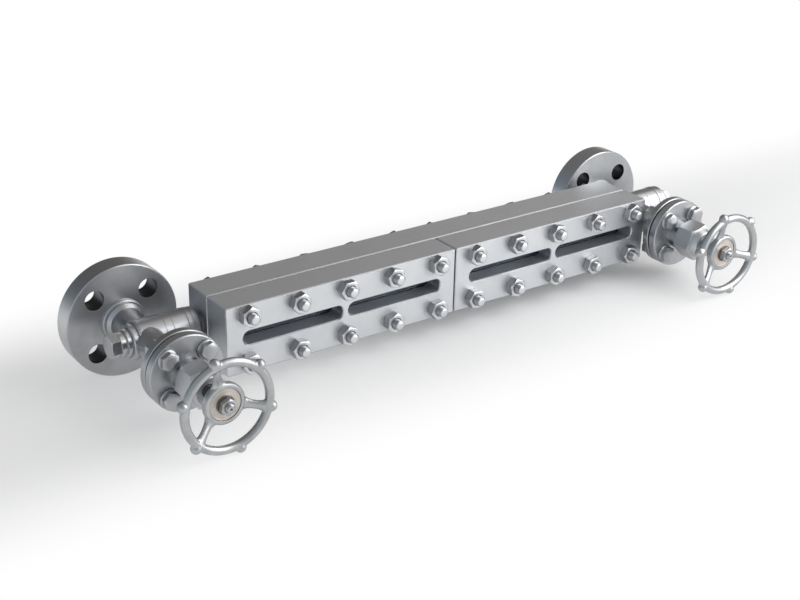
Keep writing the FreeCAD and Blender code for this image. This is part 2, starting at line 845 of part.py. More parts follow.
def handwheel():
    """The cast handwheel: round rim with knobs, dished spokes and a hub with a plate recess."""
    rim = Part.makeTorus(wheel_rim_radius, wheel_rim_tube / 2, Vector(0, rim_y, 0), Y_AXIS)
    hub = turned_y([
        (hub_front_y, hub_diameter - 2 * hub_chamfer),
        (hub_front_y + hub_chamfer, hub_diameter),
        (hub_back_y - hub_chamfer, hub_diameter),
        (hub_back_y, hub_diameter - 2 * hub_chamfer),
        (hub_back_y, hub_boss_diameter),
        (boss_back_y, hub_boss_diameter),
    ])
    pieces = [hub]
    for index in range(knob_count):
        angle = math.radians(knob_phase - 360 * index / knob_count)
        centre = Vector(knob_circle_radius * math.cos(angle), rim_y, knob_circle_radius * math.sin(angle))
        pieces.append(Part.makeSphere(knob_diameter / 2, centre))
    for index in range(spoke_count):
        pieces.append(spoke(knob_phase - 360 * index / spoke_count))
    wheel = rim.fuse(pieces)
    recess = along_y(plate_diameter, hub_front_y, plate_seat_y)
    return wheel.cut([wheel_square(plate_seat_y, boss_back_y), recess])


def spoke(angle):
    """One spoke, waisted between a wide root at the hub and a wider end at the rim, and dished."""
    inner_y = (hub_front_y + hub_back_y) / 2
    inner = plate_diameter / 2 + spoke_root
    waist = inner + spoke_waist * (wheel_rim_radius - inner)
    waist_y = inner_y + spoke_waist * (rim_y - inner_y)
    stations = [
        (inner, inner_y, spoke_root_width),
        (waist, waist_y, spoke_width),
        (wheel_rim_radius, rim_y, spoke_end_width),
    ]
    wires = []
    for radius, y, width in stations:
        centre = Vector(radius, y, 0)
        section = Part.Ellipse(centre + Z_AXIS * (width / 2), centre + Y_AXIS * (spoke_thickness / 2), centre)
        wires.append(Part.Wire(section.toShape()))
    arm = Part.makeLoft(wires, True)
    arm.rotate(Vector(), Y_AXIS, -angle)
    return arm


def wheel_plate():
    """The thin bare disc in the handwheel's recess."""
    disc = along_y(plate_diameter - 2 * plate_clearance, washer_seat_y, plate_seat_y)
    return disc.cut(along_y(stem_end_diameter + 2 * plate_clearance, washer_seat_y, plate_seat_y))


def washer():
    """The washer under the handwheel's nut."""
    disc = along_y(wheel_washer_diameter, nut_seat_y, washer_seat_y)
    return disc.cut(along_y(stem_end_diameter + 2 * plate_clearance, nut_seat_y, washer_seat_y))


def wheel_nut():
    """The nut that holds the handwheel on the stem."""
    return hex_nut(wheel_nut_flats, wheel_nut_height, stem_end_diameter, Vector(0, nut_seat_y, 0), -Y_AXIS,
                   wheel_nut_turn)


def valve_pieces():
    """The pieces that both valves share, about a valve axis at x = 0."""
    return {
        "valve_body": valve_body(),
        "process_flange": process_flange(),
        "seat_ring": seat_ring(),
        "needle": needle(),
        "stem": stem(),
        "bonnet": bonnet(),
        "bonnet_gasket": bonnet_gasket(),
        "bonnet_bolts": bonnet_bolts(),
        "bonnet_nuts": bonnet_nuts(),
        "packing": packing(),
        "packing_follower": packing_follower(),
        "packing_nut": packing_nut(),
        "union_nut": union_nut(),
        "handwheel": handwheel(),
        "wheel_plate": wheel_plate(),
        "wheel_washer": washer(),
        "wheel_nut": wheel_nut(),
    }


def body_pieces():
    """The pieces of the gauge body."""
    pieces = {
        "liquid_chamber": liquid_chamber(),
        "body_studs": body_studs(),
        "front_nuts": body_nuts(front_nut_height, cover_front_y, -Y_AXIS, front_nut_turn),
        "rear_nuts": body_nuts(rear_nut_height, chamber_depth, Y_AXIS, rear_nut_turn),
    }
    for name, side in (("left", -1), ("right", 1)):
        pieces["cover_" + name] = cover(side)
        pieces["glass_" + name] = glass(side)
        pieces["glass_gasket_" + name] = glass_ring(side, glass_back_y, gasket_recess)
        pieces["glass_cushion_" + name] = glass_ring(side, recess_floor_y, glass_front_y)
    return pieces


def moved(shape, x):
    """A copy of a shape moved along X."""
    return shape.translated(Vector(x, 0, 0))


def gauge():
    """Every piece of the gauge by its node's name."""
    pieces = body_pieces()
    shared = valve_pieces()
    for name, x in (("left", left_valve_x), ("right", right_valve_x)):
        for piece, shape in shared.items():
            pieces[name + "_" + piece] = moved(shape, x)
    pieces["left_union_tail"] = moved(union_tail(), left_valve_x)
    pieces["left_port_plug"] = moved(threaded_plug(), left_valve_x)
    pieces["right_end_nipple"] = moved(end_nipple(), right_valve_x)
    pieces["right_union_plug"] = moved(union_plug(), right_valve_x)
    origin = Vector(left_valve_x, raised_face_y, 0)
    return {name: shape.translated(-origin) for name, shape in pieces.items()}


os.makedirs("parts", exist_ok=True)
for node, shape in gauge().items():
    shape.exportStep("parts/" + node + ".step")
    print(node, "solids", len(shape.Solids), "valid", shape.isValid(), "volume", round(shape.Volume, 1))
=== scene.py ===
"""The liquid level gauge, dressed for a studio picture.

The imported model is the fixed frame. Its machined pieces keep their shape and get a finish. The
fasteners, the packing nuts, the stems and the cast handwheels are modelled here and stand for the
plain solids. Sizes are in millimetres until a mesh is made. A piece is shaped about its own Z axis
and then turned into place.
"""
from __future__ import annotations

import logging
import math
from collections.abc import Iterator, Sequence
from contextlib import contextmanager
from dataclasses import dataclass
from enum import Enum

import bpy
from mathutils import Matrix, Vector

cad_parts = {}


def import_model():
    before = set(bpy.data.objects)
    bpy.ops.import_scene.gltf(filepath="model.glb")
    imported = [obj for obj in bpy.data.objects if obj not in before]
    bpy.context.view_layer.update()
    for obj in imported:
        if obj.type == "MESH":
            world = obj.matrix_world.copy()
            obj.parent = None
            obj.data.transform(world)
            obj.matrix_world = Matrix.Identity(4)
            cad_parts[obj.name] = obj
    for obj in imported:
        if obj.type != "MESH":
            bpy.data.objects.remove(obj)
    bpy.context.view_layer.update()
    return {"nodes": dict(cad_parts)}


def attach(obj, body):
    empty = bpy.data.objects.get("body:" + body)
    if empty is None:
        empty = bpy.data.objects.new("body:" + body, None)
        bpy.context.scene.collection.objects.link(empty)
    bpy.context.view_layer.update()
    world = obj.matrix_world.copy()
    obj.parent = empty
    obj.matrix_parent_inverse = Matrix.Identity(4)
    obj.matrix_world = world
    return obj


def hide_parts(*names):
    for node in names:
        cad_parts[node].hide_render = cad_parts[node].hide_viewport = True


LOG = logging.getLogger("level_gauge")
MM = 0.001
SIDES = ("left", "right")
# A hexagon looks the same again after this many degrees
HEXAGON_REPEAT = 60.0
# How steep the flanks of a thread are: above 1 its root is flat
THREAD_STEEPNESS = 1.3

Piece = bpy.types.Object
Socket = bpy.types.NodeSocket
Colour = tuple[float, float, float]
Point = tuple[float, float, float]
Station = tuple[float, float]
Section = tuple[float, float, float, float]
Band = tuple[float, float]


class Joining(Enum):
    """How a second solid is worked into a first one."""

    CUT = "DIFFERENCE"
    KEEP = "INTERSECT"
    ADD = "UNION"


class Facing(Enum):
    """The way a piece's own Z axis points once it is in place, as degrees about X."""

    FRONT = 90.0
    BACK = -90.0

    def turn(self, spin: float) -> Matrix:
        """The rotation for this facing, after a spin about the piece's own axis."""
        tilt = Matrix.Rotation(math.radians(self.value), 4, "X")
        return tilt @ Matrix.Rotation(math.radians(spin), 4, "Z")


class Grain(Enum):
    """The marks that the making of a surface left on it, with their detail and roughness."""

    GROUND = ("ground flat, with strokes across the faces", 2.0, 0.55)
    TURNED_ACROSS = ("turned about a valve's stem axis", 2.0, 0.5)
    TURNED_ALONG = ("turned about the line of the branches", 2.0, 0.5)
    ROUGH = ("cast, forged or rolled", 4.0, 0.62)

    def pattern(self, graph: Graph, spot: Socket, scale: float) -> Socket:
        """The height of the marks, from 0 to 1."""
        return graph.noise(spot, scale, *self.value[1:])


def deselect() -> None:
    """Leaves nothing selected."""
    bpy.ops.object.select_all(action="DESELECT")


def choose(*pieces: Piece) -> None:
    """Selects only these pieces and makes the first one active."""
    deselect()
    for piece in pieces:
        piece.select_set(True)
    bpy.context.view_layer.objects.active = pieces[0]


@contextmanager
def shaping(piece: Piece) -> Iterator[None]:
    """Holds one piece in edit mode, with all of it selected at the start."""
    choose(piece)
    bpy.ops.object.mode_set(mode="EDIT")
    bpy.ops.mesh.select_all(action="SELECT")
    yield
    bpy.ops.object.mode_set(mode="OBJECT")


def settle(piece: Piece) -> None:
    """Moves an object's place, turn and scale into its mesh."""
    choose(piece)
    bpy.ops.object.transform_apply(location=True, rotation=True, scale=True)


def newest(name: str) -> Piece:
    """Names the piece that was just added and moves its place into its mesh."""
    piece = bpy.context.object
    piece.name = name
    settle(piece)
    return piece


def place(piece: Piece, facing: Facing, at: Sequence[float], spin: float) -> Piece:
    """Turns a piece from its own Z axis to face its way at a place in millimetres."""
    piece.matrix_world = Matrix.Translation(Vector(at) * MM) @ facing.turn(spin)
    settle(piece)
    return piece


def place_up(piece: Piece, along: float, spin: float = 0.0) -> Piece:
    """Moves a piece along its own axis, in millimetres, and turns it about it."""
    turn = Matrix.Rotation(math.radians(spin), 4, "Z")
    piece.matrix_world = Matrix.Translation((0, 0, along * MM)) @ turn
    settle(piece)
    return piece


def smooth(piece: Piece, angle: float = 25.0) -> None:
    """Shades a piece smoothly wherever its faces meet at less than an angle."""
    choose(piece)
    bpy.ops.object.shade_smooth_by_angle(angle=math.radians(angle))


def clean(piece: Piece, distance: float = 0.004) -> None:
    """Merges a piece's doubled points and turns its faces outwards."""
    with shaping(piece):
        bpy.ops.mesh.remove_doubles(threshold=distance * MM)
        bpy.ops.mesh.normals_make_consistent(inside=False)


def turned(name: str, stations: Sequence[Station], sides: int = 72, ring: bool = False) -> Piece:
    """Turns a piece about its own Z axis, by drawing a circle out from station to station.

    Args:
        name: The object's name.
        stations: Places along the axis and the radius there, in millimetres.
        sides: The number of sides of the circle.
        ring: Whether the piece has a hole, so that the last station meets the first.

    Returns:
        The closed piece.
    """
    start, radius = stations[0]
    deselect()
    bpy.ops.mesh.primitive_circle_add(
        vertices=sides, radius=radius * MM, location=(0, 0, start * MM),
        fill_type="NOTHING" if ring else "NGON",
    )
    piece = newest(name)
    with shaping(piece):
        for (low, before), (high, after) in zip(stations, stations[1:]):
            step = (0, 0, (high - low) * MM)
            bpy.ops.mesh.extrude_region_move(TRANSFORM_OT_translate={"value": step})
            if after != before:
                growth = (after / before, after / before, 1)
                bpy.ops.transform.resize(value=growth, center_override=(0, 0, high * MM))
    clean(piece)
    return piece


def lofted(name: str, sections: Sequence[Section], sides: int = 24) -> Piece:
    """Draws an oval bar out along its own X axis from section to section.

    Args:
        name: The object's name.
        sections: The place along X, the place along Z, the width and the thickness of each.
        sides: The number of sides of the oval.

    Returns:
        The closed bar.
    """
    along, rise, width, thick = sections[0]
    upright = (0, math.radians(90), 0)
    deselect()
    bpy.ops.mesh.primitive_circle_add(
        vertices=sides, radius=MM / 2, fill_type="NGON", rotation=upright
    )
    piece = newest(name)
    with shaping(piece):
        bpy.ops.transform.resize(value=(1, width, thick), center_override=(0, 0, 0))
        bpy.ops.transform.translate(value=(along * MM, 0, rise * MM))
        for before, after in zip(sections, sections[1:]):
            step = ((after[0] - before[0]) * MM, 0, (after[1] - before[1]) * MM)
            bpy.ops.mesh.extrude_region_move(TRANSFORM_OT_translate={"value": step})
            growth = (1, after[2] / before[2], after[3] / before[3])
            centre = (after[0] * MM, 0, after[1] * MM)
            bpy.ops.transform.resize(value=growth, center_override=centre)
    clean(piece)
    return piece


def combine(piece: Piece, tool: Piece, how: Joining) -> Piece:
    """Cuts, trims or joins a piece with a second solid, which is used up.

    Args:
        piece: The object that is kept.
        tool: The second solid.
        how: The way the two are combined.

    Returns:
        The kept object.
    """
    step = piece.modifiers.new("combine", "BOOLEAN")
    step.operation = how.value
    step.solver = "EXACT"
    step.object = tool
    choose(piece)
    bpy.ops.object.modifier_apply(modifier=step.name)
    bpy.data.objects.remove(tool)
    return piece


def join(name: str, pieces: Sequence[Piece]) -> Piece:
    """Gathers several pieces into the first of them and names it."""
    choose(*pieces)
    bpy.ops.object.join()
    pieces[0].name = name
    return pieces[0]


def twin(piece: Piece, name: str, matrix: Matrix) -> Piece:
    """Copies a piece with a mesh of its own.

    Args:
        piece: The object to copy.
        name: The copy's name.
        matrix: Where the copy goes.

    Returns:
        The copy, with its place in its mesh.
    """
    copy = piece.copy()
    copy.data = piece.data.copy()
    copy.name = name
    bpy.context.scene.collection.objects.link(copy)
    copy.matrix_world = matrix
    settle(copy)
    return copy


def steps(start: float, end: float, radius: float, spacing: float) -> list[Station]:
    """Stations on a plain stretch, both ends included, closely enough spaced for a thread."""
    count = max(1, math.ceil(abs(end - start) / spacing))
    return [(start + (end - start) * index / count, radius) for index in range(count + 1)]


def block(name: str, low: Sequence[float], high: Sequence[float]) -> Piece:
    """Makes a rectangular solid between two corners, to cut or trim with."""
    middle = [(a + b) / 2 * MM for a, b in zip(low, high)]
    deselect()
    bpy.ops.mesh.primitive_cube_add(size=MM, location=middle)
    piece = bpy.context.object
    piece.name = name
    piece.scale = [b - a for a, b in zip(low, high)]
    settle(piece)
    return piece


@dataclass(frozen=True)
class Thread:
    """A screw thread that runs out over half a pitch at both ends."""

    start: float
    end: float
    pitch: float
    depth: float

    def cut(self, piece: Piece) -> None:
        """Cuts the thread into a turned piece whose stations are closely enough spaced.

        Args:
            piece: The object, turned about its own Z axis.
        """
        for vertex in piece.data.vertices:
            along = vertex.co.z / MM
            radius = math.hypot(vertex.co.x, vertex.co.y)
            if radius < self.depth * MM or not self.start < along < self.end:
                continue
            turns = along / self.pitch - math.atan2(vertex.co.y, vertex.co.x) / math.tau
            groove = min(1.0, THREAD_STEEPNESS * abs(2 * (turns % 1) - 1))
            room = min(along - self.start, self.end - along)
            fade = min(1.0, 2 * room / self.pitch)
            share = 1 - self.depth * MM * groove * fade / radius
            vertex.co.x *= share
            vertex.co.y *= share


@dataclass(frozen=True)
class Turning:
    """A turned piece: its stations, the sides of its circle, its shading and its threads."""

    stations: tuple[Station, ...]
    sides: int = 72
    shading: float = 0.0
    ring: bool = False
    threads: tuple[Thread, ...] = ()

    def build(self, name: str) -> Piece:
        """Turns the piece and cuts its threads.

        Args:
            name: The object's name.

        Returns:
            The closed piece about its own Z axis.
        """
        piece = turned(name, self.stations, self.sides, self.ring)
        for thread in self.threads:
            thread.cut(piece)
        if self.shading:
            smooth(piece, self.shading)
        return piece


@dataclass(frozen=True)
class Hexagon:
    """A hexagon whose corners are turned off by a shallow cone, as on every nut and bolt head."""

    flats: float
    height: float
    both_ends: bool = True
    cone_reach: float = 1.3
    cone_angle: float = 30.0
    crown: float = 0.0
    crown_share: float = 0.55
    clearance: float = 0.01
    spare: float = 1.0

    def build(self, name: str) -> Piece:
        """Builds the hexagon from 0 to its height.

        Args:
            name: The object's name.

        Returns:
            The closed hexagon, without a hole.
        """
        corner = self.flats / math.sqrt(3)
        inset = (corner - self.flats / 2) * self.cone_reach
        drop = inset * math.tan(math.radians(self.cone_angle))
        inner, outer, shoulder = corner - inset, corner + self.clearance, self.height - self.crown
        deselect()
        bpy.ops.mesh.primitive_cylinder_add(
            vertices=6, radius=corner * MM, depth=(self.height + 2 * self.spare) * MM,
            location=(0, 0, self.height / 2 * MM),
            rotation=(0, 0, math.radians(HEXAGON_REPEAT / 2)),
        )
        piece = newest(name)
        foot = [(0, inner), (drop, outer)] if self.both_ends else [(0, outer)]
        top = [(shoulder - drop, outer), (shoulder, inner)]
        if self.crown:
            top.append((self.height, inner * self.crown_share))
        combine(piece, turned("envelope", foot + top), Joining.KEEP)
        clean(piece)
        return piece


@dataclass(frozen=True)
class HexNut:
    """A hex nut with turned corners and a countersunk hole."""

    flats: float
    height: float
    hole: float
    countersink: float = 0.8
    beyond: float = 1.0

    def build(self, name: str) -> Piece:
        """Builds one nut from 0 to its height.

        Args:
            name: The object's name.

        Returns:
            The nut.
        """
        nut = Hexagon(self.flats, self.height).build(name)
        radius = self.hole / 2
        wide = radius + self.countersink
        bore = turned("bore", [
            (-self.beyond, wide + self.beyond), (self.countersink, radius),
            (self.height - self.countersink, radius),
            (self.height + self.beyond, wide + self.beyond),
        ], sides=48)
        combine(nut, bore, Joining.CUT)
        clean(nut)
        smooth(nut)
        return nut


@dataclass(frozen=True)
class Graph:
    """The nodes of one finish, added in reading order."""

    tree: bpy.types.NodeTree

    def add(self, kind: str, inputs: dict[str | int, object] | None = None,
            **settings: object) -> bpy.types.Node:
        """Adds a node.

        Args:
            kind: The node's type.
            inputs: Values or sockets for its inputs, by name or number.
            settings: The node's own settings.

        Returns:
            The node.
        """
        node = self.tree.nodes.new(kind)
        for key, value in settings.items():
            setattr(node, key, value)
        for key, value in (inputs or {}).items():
            if isinstance(value, Socket):
                self.tree.links.new(value, node.inputs[key])
            else:
                node.inputs[key].default_value = value
        return node

    def show(self, node: bpy.types.Node, kind: str = "ShaderNodeOutputMaterial") -> None:
        """Sends a node's first output to the surface."""
        self.add(kind, {0: node.outputs[0]})

    def sum(self, operation: str, first: object, second: object = 0.0) -> Socket:
        """Works out one number from two."""
        return self.add("ShaderNodeMath", {0: first, 1: second}, operation=operation).outputs[0]

    def arrow(self, operation: str, inputs: dict[str | int, object],
              output: str = "Vector") -> Socket:
        """Works out a vector, or a number, from vectors."""
        return self.add("ShaderNodeVectorMath", inputs, operation=operation).outputs[output]

    def noise(self, spot: object, scale: float, detail: float = 4.0, rough: float = 0.6) -> Socket:
        """A cloudy pattern from 0 to 1."""
        inputs = {"Vector": spot, "Scale": scale, "Detail": detail, "Roughness": rough}
        return self.add("ShaderNodeTexNoise", inputs).outputs["Fac"]

    def spread(self, value: object, low: float, high: float, to_low: object = 0.0,
               to_high: float = 1.0) -> Socket:
        """Maps one range of a value smoothly to another range, and holds it there."""
        inputs = {
            "Value": value, "From Min": low, "From Max": high, "To Min": to_low, "To Max": to_high,
        }
        node = self.add("ShaderNodeMapRange", inputs, interpolation_type="SMOOTHSTEP")
        return node.outputs["Result"]

    def blend(self, share: object, first: object, second: object) -> Socket:
        """Mixes two colours."""
        node = self.add("ShaderNodeMix", {0: share, 6: first, 7: second}, data_type="RGBA")
        return node.outputs[2]

    def split(self, vector: object) -> tuple[Socket, ...]:
        """The three parts of a vector."""
        return tuple(self.add("ShaderNodeSeparateXYZ", {0: vector}).outputs)

    def vector(self, x: object, y: object, z: object) -> Socket:
        """A vector from its three parts."""
        return self.add("ShaderNodeCombineXYZ", {0: x, 1: y, 2: z}).outputs[0]

    def length(self, first: object, second: object) -> Socket:
        """The distance from the origin to a point in a plane."""
        squares = [self.sum("MULTIPLY", part, part) for part in (first, second)]
        return self.sum("SQRT", self.sum("ADD", *squares))

    def spot(self) -> Socket:
        """The object coordinates."""
        return self.add("ShaderNodeTexCoord").outputs["Object"]

    def face_direction(self) -> tuple[Socket, ...]:
        """The three parts of the direction that a flat face looks in."""
        return self.split(self.add("ShaderNodeNewGeometry").outputs["True Normal"])


def opaque(colour: Colour, share: float = 1.0) -> tuple[float, float, float, float]:
    """A colour with full cover, made darker or lighter by a share."""
    return (*(min(1.0, part * share) for part in colour), 1.0)


def new_material(name: str) -> tuple[bpy.types.Material, Graph]:
    """Starts an empty node material and its graph."""
    material = bpy.data.materials.new(name)
    material.use_nodes = True
    material.node_tree.nodes.clear()
    return material, Graph(material.node_tree)


@dataclass(frozen=True)
class Steel:
    """A metal finish: tint, stain, making marks and edges lightened by a painted highlight. Lengths
    are in millimetres.

    Faces machined square to the stems can have a tint of their own. Chamfers keep a share of the
    tint, a painted shade that dims their reflection, and the walls of the drilled holes are
    darkened with painted shade. A band says where a mask starts and where it is full.
    """

    name: str
    tint: Colour
    stain: Colour
    roughness: float
    uneven: float
    grain: Grain
    mark_spacing: float = 0.35
    mark_depth: float = 0.012
    stroke_shares: tuple[float, float, float] = (0.02, 0.01, 0.2)
    level_band: Band = (0.5, 0.6)
    edge: float = 0.5
    edge_samples: int = 6
    edge_highlight_share: float = 0.5
    edge_highlight_gain: float = 1.3
    edge_highlight_band: Band = (0.995, 0.86)
    stain_scale: float = 22.0
    stain_band: Band = (0.3, 0.72)
    rough_band: Band = (0.25, 0.75)
    metallic: float = 1.0
    hole_at: float = 0.0
    hole_reach: float = 0.0
    hole_shade_share: float = 0.16
    faced: Colour | None = None
    faced_band: Band = (0.8, 0.9)
    chamfer_shade_share: float = 1.0
    chamfer_band: Band = (0.2, 0.4)
    valve_pitch: float = 697.0
    branch_y: float = -81.3

    def marks(self, graph: Graph, spot: Socket) -> Socket:
        """The fine making marks, from 0 to 1.

        Args:
            graph: The material's graph.
            spot: The object coordinates.

        Returns:
            A socket with the height of the marks.
        """
        fine = 1 / (self.mark_spacing * MM)
        if self.grain is Grain.ROUGH:
            return self.grain.pattern(graph, spot, fine)
        x, y, z = graph.split(spot)
        if self.grain is Grain.GROUND:
            return self.strokes(graph, (x, y, z), fine)
        if self.grain is Grain.TURNED_ACROSS:
            rings = graph.vector(graph.length(self.about_valve(graph, x), z), y, 0.0)
        else:
            own_y = graph.sum("SUBTRACT", y, self.branch_y * MM)
            rings = graph.vector(graph.length(own_y, z), x, 0.0)
        return self.grain.pattern(graph, rings, fine)

    def strokes(self, graph: Graph, spot: tuple[Socket, ...], fine: float) -> Socket:
        """The strokes of grinding, along level faces and across the others.

        Args:
            graph: The material's graph.
            spot: The three parts of the object coordinates.
            fine: How many strokes there are to a metre.

        Returns:
            A socket with the height of the strokes.
        """
        x, y, z = spot
        crossing, running, sloping = self.stroke_shares
        across = graph.vector(
            x, graph.sum("MULTIPLY", z, crossing), graph.sum("MULTIPLY", y, crossing))
        along = graph.vector(
            graph.sum("MULTIPLY", x, running), y, graph.sum("MULTIPLY", z, sloping))
        level = graph.spread(graph.sum("ABSOLUTE", graph.face_direction()[2]), *self.level_band)
        upright, lying = (self.grain.pattern(graph, way, fine) for way in (across, along))
        inputs = {0: level, 2: upright, 3: lying}
        return graph.add("ShaderNodeMix", inputs, data_type="FLOAT").outputs[0]

    def about_valve(self, graph: Graph, x: Socket) -> Socket:
        """The distance along the gauge from the axis of the nearer valve."""
        far = graph.sum("GREATER_THAN", x, self.valve_pitch / 2 * MM)
        return graph.sum("SUBTRACT", x, graph.sum("MULTIPLY", far, self.valve_pitch * MM))

    def holes(self, graph: Graph, spot: Socket) -> Socket:
        """A mask of the four drilled holes, whose walls get a painted shade."""
        x, _, z = graph.split(spot)
        parts = [graph.sum("ABSOLUTE", part) for part in (self.about_valve(graph, x), z)]
        offsets = [graph.sum("SUBTRACT", part, self.hole_at * MM) for part in parts]
        return graph.sum("LESS_THAN", graph.length(*offsets), self.hole_reach * MM)

    def shade(self, graph: Graph, spot: Socket, patches: Socket, bevel: Socket) -> Socket:
        """The tint and its stain, with faces of their own, painted shade on chamfers and in holes,
        and a painted highlight on edges.

        Args:
            graph: The material's graph.
            spot: The object coordinates.
            patches: Where the stain lies, from 0 to 1.
            bevel: The direction of the surface with its edges rounded.

        Returns:
            A socket with the colour.
        """
        stained = graph.spread(patches, *self.stain_band)
        shade = graph.blend(stained, opaque(self.tint), opaque(self.stain))
        if self.faced:
            square = graph.sum("ABSOLUTE", graph.face_direction()[1])
            shade = graph.blend(graph.spread(square, *self.faced_band), shade, opaque(self.faced))
        # Painted shade: chamfers slanting between the front and the top keep only a share of the
        # tint, so that they reflect less light.
        if self.chamfer_shade_share < 1.0:
            _, across, up = graph.face_direction()
            slant = graph.sum("ABSOLUTE", graph.sum("MULTIPLY", across, up))
            chamfer = graph.spread(slant, *self.chamfer_band)
            shade = graph.blend(chamfer, shade, opaque(self.tint, self.chamfer_shade_share))
        # Painted highlight: the colour is lightened along every edge, where the rounded normal
        # leans away from the flat one.
        flat = graph.add("ShaderNodeNewGeometry").outputs["Normal"]
        lean = graph.arrow("DOT_PRODUCT", {0: bevel, 1: flat}, "Value")
        painted_edge_highlight = graph.spread(lean, *self.edge_highlight_band, 0.0, self.edge_highlight_share)
        shade = graph.blend(painted_edge_highlight, shade, opaque(self.tint, self.edge_highlight_gain))
        # Painted shade: the walls of the drilled holes are darkened towards the stain's colour.
        if self.hole_reach:
            scale = opaque(self.stain, self.hole_shade_share)
            shade = graph.blend(self.holes(graph, spot), shade, scale)
        return shade

    def material(self) -> bpy.types.Material:
        """Makes the finish.

        Returns:
            The node material.
        """
        material, graph = new_material(self.name)
        spot = graph.spot()
        marks = self.marks(graph, spot)
        patches = graph.noise(spot, self.stain_scale)
        rounding = {"Radius": self.edge * MM}
        bevel = graph.add("ShaderNodeBevel", rounding, samples=self.edge_samples).outputs[0]
        speckle = graph.sum("MULTIPLY", graph.sum("SUBTRACT", marks, 0.5), self.uneven)
        low, high = self.roughness - self.uneven, self.roughness + self.uneven
        rough = graph.sum("ADD", graph.spread(patches, *self.rough_band, low, high), speckle)
        bump = graph.add("ShaderNodeBump", {
            "Strength": 1.0, "Distance": self.mark_depth * MM, "Height": marks, "Normal": bevel,
        })
        graph.show(graph.add("ShaderNodeBsdfPrincipled", {
            "Base Color": self.shade(graph, spot, patches, bevel), "Metallic": self.metallic,
            "Roughness": rough, "Normal": bump.outputs[0],
        }))
        return material


@dataclass(frozen=True)
class SightGlass:
    """Toughened glass with a little film on it."""

    name: str = "sight_glass"
    tint: Colour = (0.2, 0.27, 0.4)
    roughness: float = 0.05
    film: float = 0.12
    film_scale: float = 45.0
    film_band: Band = (0.35, 0.75)
    refraction: float = 1.45
    clearness: float = 0.9

    def material(self) -> bpy.types.Material:
        """Makes the finish's node material."""
        material, graph = new_material(self.name)
        film = graph.noise(graph.spot(), self.film_scale)
        thick = self.roughness + self.film
        graph.show(graph.add("ShaderNodeBsdfPrincipled", {
            "Base Color": opaque(self.tint), "IOR": self.refraction,
            "Roughness": graph.spread(film, *self.film_band, self.roughness, thick),
            "Transmission Weight": self.clearness,
        }))
        return material


@dataclass(frozen=True)
class Graphite:
    """Pressed graphite of the gaskets and packing, dark with a dull lustre."""

    name: str = "graphite"
    tint: Colour = (0.035, 0.036, 0.04)
    lustre: float = 2.2
    roughness: Band = (0.4, 0.62)
    flake_scale: float = 900.0
    flake_detail: float = 5.0
    flake_rough: float = 0.7
    flake_band: Band = (0.3, 0.7)
    flake_height: float = 0.05
    flake_strength: float = 0.6

    def material(self) -> bpy.types.Material:
        """Makes the finish's node material."""
        material, graph = new_material(self.name)
        flakes = graph.noise(graph.spot(), self.flake_scale, self.flake_detail, self.flake_rough)
        bump = graph.add("ShaderNodeBump", {
            "Strength": self.flake_strength, "Distance": self.flake_height * MM, "Height": flakes,
        })
        graph.show(graph.add("ShaderNodeBsdfPrincipled", {
            "Base Color": graph.blend(flakes, opaque(self.tint), opaque(self.tint, self.lustre)),
            "Roughness": graph.spread(flakes, *self.flake_band, *self.roughness),
            "Normal": bump.outputs[0],
        }))
        return material


class Finishes:
    """Every finish of the gauge, each made once."""

    steels = (
        Steel("ground_block", (0.70, 0.715, 0.735), (0.63, 0.645, 0.67), 0.41, 0.05, Grain.GROUND,
              mark_spacing=0.3, mark_depth=0.008, edge=0.3, edge_highlight_share=0.1, metallic=0.9,
              chamfer_shade_share=0.36),
        Steel("turned_flange", (0.47, 0.48, 0.495), (0.41, 0.42, 0.435), 0.36, 0.05,
              Grain.TURNED_ACROSS, mark_spacing=0.5, mark_depth=0.02),
        Steel("drilled_flange", (0.47, 0.48, 0.495), (0.36, 0.37, 0.385), 0.35, 0.07,
              Grain.TURNED_ACROSS, mark_spacing=0.5, mark_depth=0.03, hole_at=31.43,
              hole_reach=11.25),
        Steel("turned_branch", (0.43, 0.435, 0.45), (0.36, 0.365, 0.38), 0.33, 0.05,
              Grain.TURNED_ALONG, mark_spacing=0.45, mark_depth=0.012),
        Steel("forged_nut", (0.56, 0.58, 0.59), (0.49, 0.50, 0.52), 0.38, 0.06, Grain.ROUGH,
              mark_spacing=1.2, mark_depth=0.03, edge=1.0),
        Steel("bright_fastener", (0.39, 0.395, 0.41), (0.31, 0.315, 0.33), 0.34, 0.07, Grain.ROUGH,
              mark_spacing=0.9, mark_depth=0.012, faced=(0.70, 0.715, 0.735)),
        Steel("bolt_steel", (0.48, 0.485, 0.50), (0.38, 0.385, 0.4), 0.33, 0.08, Grain.ROUGH,
              mark_spacing=0.8, mark_depth=0.025),
        Steel("dark_fastener", (0.22, 0.21, 0.20), (0.15, 0.14, 0.13), 0.4, 0.06, Grain.ROUGH,
              mark_spacing=0.8, mark_depth=0.02),
        Steel("stem_steel", (0.44, 0.445, 0.455), (0.37, 0.375, 0.385), 0.24, 0.05,
              Grain.TURNED_ACROSS, mark_spacing=0.3, mark_depth=0.008),
        Steel("cast_wheel", (0.455, 0.465, 0.475), (0.37, 0.38, 0.39), 0.36, 0.07, Grain.ROUGH,
              mark_spacing=1.1, mark_depth=0.09, edge=0.8, edge_highlight_share=0.45, stain_scale=60.0),
        Steel("wheel_plate", (0.61, 0.555, 0.505), (0.53, 0.48, 0.435), 0.42, 0.05,
              Grain.TURNED_ACROSS, mark_spacing=0.4, mark_depth=0.01, edge=0.3, edge_highlight_share=0.3,
              stain_scale=90.0, metallic=0.75),
    )

    def __init__(self) -> None:
        """Makes the materials."""
        finishes = (*self.steels, SightGlass(), Graphite())
        self.made = {finish.name: finish.material() for finish in finishes}

    def dress(self, piece: Piece, finish: str) -> None:
        """Gives all of a new piece, or of one of the frame's own, one finish."""
        if not piece.material_slots:
            piece.data.materials.append(self.made[finish])
        for slot in piece.material_slots:
            slot.material = self.made[finish]


